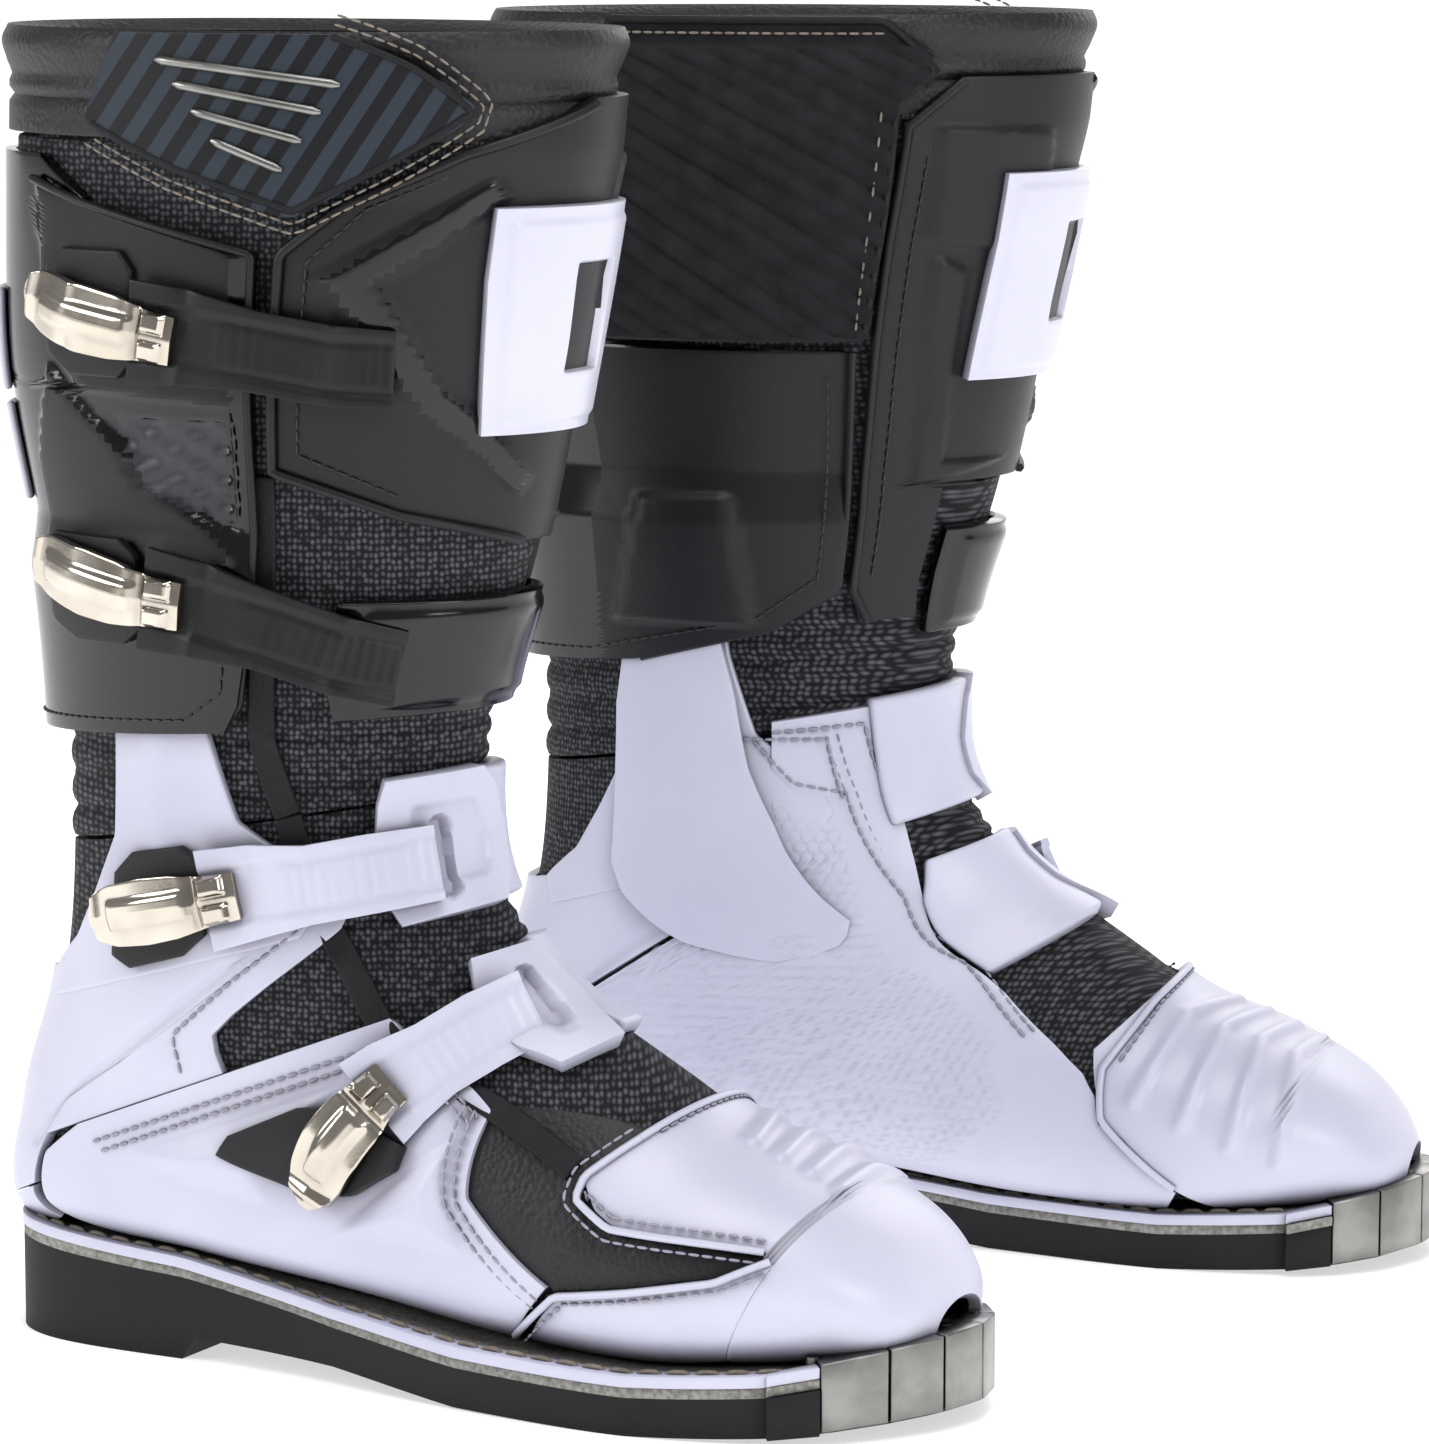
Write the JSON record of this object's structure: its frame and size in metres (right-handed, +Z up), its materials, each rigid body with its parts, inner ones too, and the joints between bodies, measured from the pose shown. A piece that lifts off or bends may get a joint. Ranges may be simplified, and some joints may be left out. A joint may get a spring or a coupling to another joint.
{
  "type": "motocross boots",
  "caption": "Pair of tall off-road riding boots: flexing ankle, moulded shin, calf and heel shells, four straps with over-centre buckle levers each, steel toe plates.",
  "frame": {"origin": "on the ground, under the middle of the pair's bounding box", "axes": "+X forward, toes turned out 6.6 degrees each; +Y to the wearer's left, so the left boot is at +Y; +Z up"},
  "size_m": [0.337, 0.3122, 0.343],
  "materials": {
    "white_tpu": "white moulded TPU, satin with a cool tint",
    "black_tpu": "black moulded TPU, glossy with matte raised panels",
    "outsole_rubber": "matte black rubber",
    "mesh_fabric": "dark three-dimensional mesh over foam",
    "collar_leather": "soft black grained microfibre leather",
    "suede": "ribbed black suede heat guard",
    "flap_fabric": "black printed synthetic with diagonal stripes",
    "footbed_foam": "cloth-covered foam",
    "steel_plate": "brushed stainless sheet",
    "nickel": "polished nickel-plated die casting"
  },
  "bodies": {
    "right_foot": {"right_outsole": "outsole_rubber", "right_welt": "white_tpu", "right_toe_plate": "steel_plate", "right_toe_screws": "steel_plate", "right_vamp": "mesh_fabric", "right_footbed": "footbed_foam", "right_heel_shell": "white_tpu", "right_side_panel": "white_tpu", "right_medial_panel": "white_tpu", "right_toe_cap": "white_tpu", "right_instep_keepers": "white_tpu", "right_instep_buckle_bases": "black_tpu", "right_ankle_bellows": "mesh_fabric"},
    "right_shaft": {"right_shaft_lining": "mesh_fabric", "right_collar": "collar_leather", "right_calf_shell": "black_tpu", "right_shin_plate": "black_tpu", "right_shin_band": "black_tpu", "right_white_inserts": "white_tpu", "right_closure_flap": "flap_fabric", "right_heat_guard": "suede", "right_cuff_buckle_bases": "black_tpu"},
    "right_strap_1_body": {"right_strap_1": "black_tpu"},
    "right_lever_1_body": {"right_buckle_lever_1": "nickel"},
    "right_strap_2_body": {"right_strap_2": "black_tpu"},
    "right_lever_2_body": {"right_buckle_lever_2": "nickel"},
    "right_strap_3_body": {"right_strap_3": "white_tpu"},
    "right_lever_3_body": {"right_buckle_lever_3": "nickel"},
    "right_strap_4_body": {"right_strap_4": "white_tpu"},
    "right_lever_4_body": {"right_buckle_lever_4": "nickel"},
    "left_foot": {"left_outsole": "outsole_rubber", "left_welt": "white_tpu", "left_toe_plate": "steel_plate", "left_toe_screws": "steel_plate", "left_vamp": "mesh_fabric", "left_footbed": "footbed_foam", "left_heel_shell": "white_tpu", "left_side_panel": "white_tpu", "left_medial_panel": "white_tpu", "left_toe_cap": "white_tpu", "left_instep_keepers": "white_tpu", "left_instep_buckle_bases": "black_tpu", "left_ankle_bellows": "mesh_fabric"},
    "left_shaft": {"left_shaft_lining": "mesh_fabric", "left_collar": "collar_leather", "left_calf_shell": "black_tpu", "left_shin_plate": "black_tpu", "left_shin_band": "black_tpu", "left_white_inserts": "white_tpu", "left_closure_flap": "flap_fabric", "left_heat_guard": "suede", "left_cuff_buckle_bases": "black_tpu"},
    "left_strap_1_body": {"left_strap_1": "black_tpu"},
    "left_lever_1_body": {"left_buckle_lever_1": "nickel"},
    "left_strap_2_body": {"left_strap_2": "black_tpu"},
    "left_lever_2_body": {"left_buckle_lever_2": "nickel"},
    "left_strap_3_body": {"left_strap_3": "white_tpu"},
    "left_lever_3_body": {"left_buckle_lever_3": "nickel"},
    "left_strap_4_body": {"left_strap_4": "white_tpu"},
    "left_lever_4_body": {"left_buckle_lever_4": "nickel"}
  },
  "joints": [
    {"name": "right_ankle_flex", "type": "hinge", "parent": "right_foot", "child": "right_shaft", "pos_m": [-0.10118, -0.09163, 0.112], "axis": [0.1149, 0.9934, 0], "range_deg": [-4, 8], "stiffness_Nm_per_rad": 3, "deforming": ["right_ankle_bellows"]},
    {"name": "right_strap_1_swing", "type": "hinge", "parent": "right_shaft", "child": "right_strap_1_body", "pos_m": [-0.03466, -0.14339, 0.26029], "axis": [0.1058, -0.103, 0.989], "range_deg": [0, 75]},
    {"name": "right_buckle_1_lever", "type": "hinge", "parent": "right_strap_1_body", "child": "right_lever_1_body", "pos_m": [-0.10659, -0.1521, 0.26902], "axis": [0.1972, -0.1138, 0.9737], "range_deg": [0, 100]},
    {"name": "right_strap_2_swing", "type": "hinge", "parent": "right_shaft", "child": "right_strap_2_body", "pos_m": [-0.03964, -0.13088, 0.18419], "axis": [0.3258, -0.0496, 0.9442], "range_deg": [0, 75]},
    {"name": "right_buckle_2_lever", "type": "hinge", "parent": "right_strap_2_body", "child": "right_lever_2_body", "pos_m": [-0.10651, -0.14594, 0.2016], "axis": [0.1657, -0.1672, 0.9719], "range_deg": [0, 100]},
    {"name": "right_strap_3_swing", "type": "hinge", "parent": "right_foot", "child": "right_strap_3_body", "pos_m": [-0.03392, -0.1206, 0.13393], "axis": [-0.1749, 0.0299, 0.9841], "range_deg": [0, 75]},
    {"name": "right_buckle_3_lever", "type": "hinge", "parent": "right_strap_3_body", "child": "right_lever_3_body", "pos_m": [-0.09323, -0.13998, 0.12282], "axis": [-0.2089, 0.0305, 0.9775], "range_deg": [0, 100]},
    {"name": "right_strap_4_swing", "type": "hinge", "parent": "right_foot", "child": "right_strap_4_body", "pos_m": [-0.00813, -0.12093, 0.09916], "axis": [-0.6474, 0.312, 0.6954], "range_deg": [0, 75]},
    {"name": "right_buckle_4_lever", "type": "hinge", "parent": "right_strap_4_body", "child": "right_lever_4_body", "pos_m": [-0.04584, -0.14145, 0.07287], "axis": [-0.8086, 0.2521, 0.5315], "range_deg": [0, 100]},
    {"name": "left_ankle_flex", "type": "hinge", "parent": "left_foot", "child": "left_shaft", "pos_m": [-0.04118, 0.09163, 0.112], "axis": [-0.1149, 0.9934, 0], "range_deg": [-4, 8], "stiffness_Nm_per_rad": 3, "deforming": ["left_ankle_bellows"]},
    {"name": "left_strap_1_swing", "type": "hinge", "parent": "left_shaft", "child": "left_strap_1_body", "pos_m": [0.02534, 0.14339, 0.26029], "axis": [-0.1058, -0.103, -0.989], "range_deg": [0, 75]},
    {"name": "left_buckle_1_lever", "type": "hinge", "parent": "left_strap_1_body", "child": "left_lever_1_body", "pos_m": [-0.04659, 0.1521, 0.26902], "axis": [-0.1972, -0.1138, -0.9737], "range_deg": [0, 100]},
    {"name": "left_strap_2_swing", "type": "hinge", "parent": "left_shaft", "child": "left_strap_2_body", "pos_m": [0.02036, 0.13088, 0.18419], "axis": [-0.3258, -0.0496, -0.9442], "range_deg": [0, 75]},
    {"name": "left_buckle_2_lever", "type": "hinge", "parent": "left_strap_2_body", "child": "left_lever_2_body", "pos_m": [-0.04651, 0.14594, 0.2016], "axis": [-0.1657, -0.1672, -0.9719], "range_deg": [0, 100]},
    {"name": "left_strap_3_swing", "type": "hinge", "parent": "left_foot", "child": "left_strap_3_body", "pos_m": [0.02608, 0.1206, 0.13393], "axis": [0.1749, 0.0299, -0.9841], "range_deg": [0, 75]},
    {"name": "left_buckle_3_lever", "type": "hinge", "parent": "left_strap_3_body", "child": "left_lever_3_body", "pos_m": [-0.03323, 0.13998, 0.12282], "axis": [0.2089, 0.0305, -0.9775], "range_deg": [0, 100]},
    {"name": "left_strap_4_swing", "type": "hinge", "parent": "left_foot", "child": "left_strap_4_body", "pos_m": [0.05187, 0.12093, 0.09916], "axis": [0.6474, 0.312, -0.6954], "range_deg": [0, 75]},
    {"name": "left_buckle_4_lever", "type": "hinge", "parent": "left_strap_4_body", "child": "left_lever_4_body", "pos_m": [0.01416, 0.14145, 0.07287], "axis": [0.8086, 0.2521, -0.5315], "range_deg": [0, 100]},
    {"name": "left_boot_lift", "type": "slide", "parent": "right_foot", "child": "left_foot", "axis": [0, 0, 1], "range_m": [0, 0.3]}
  ]
}
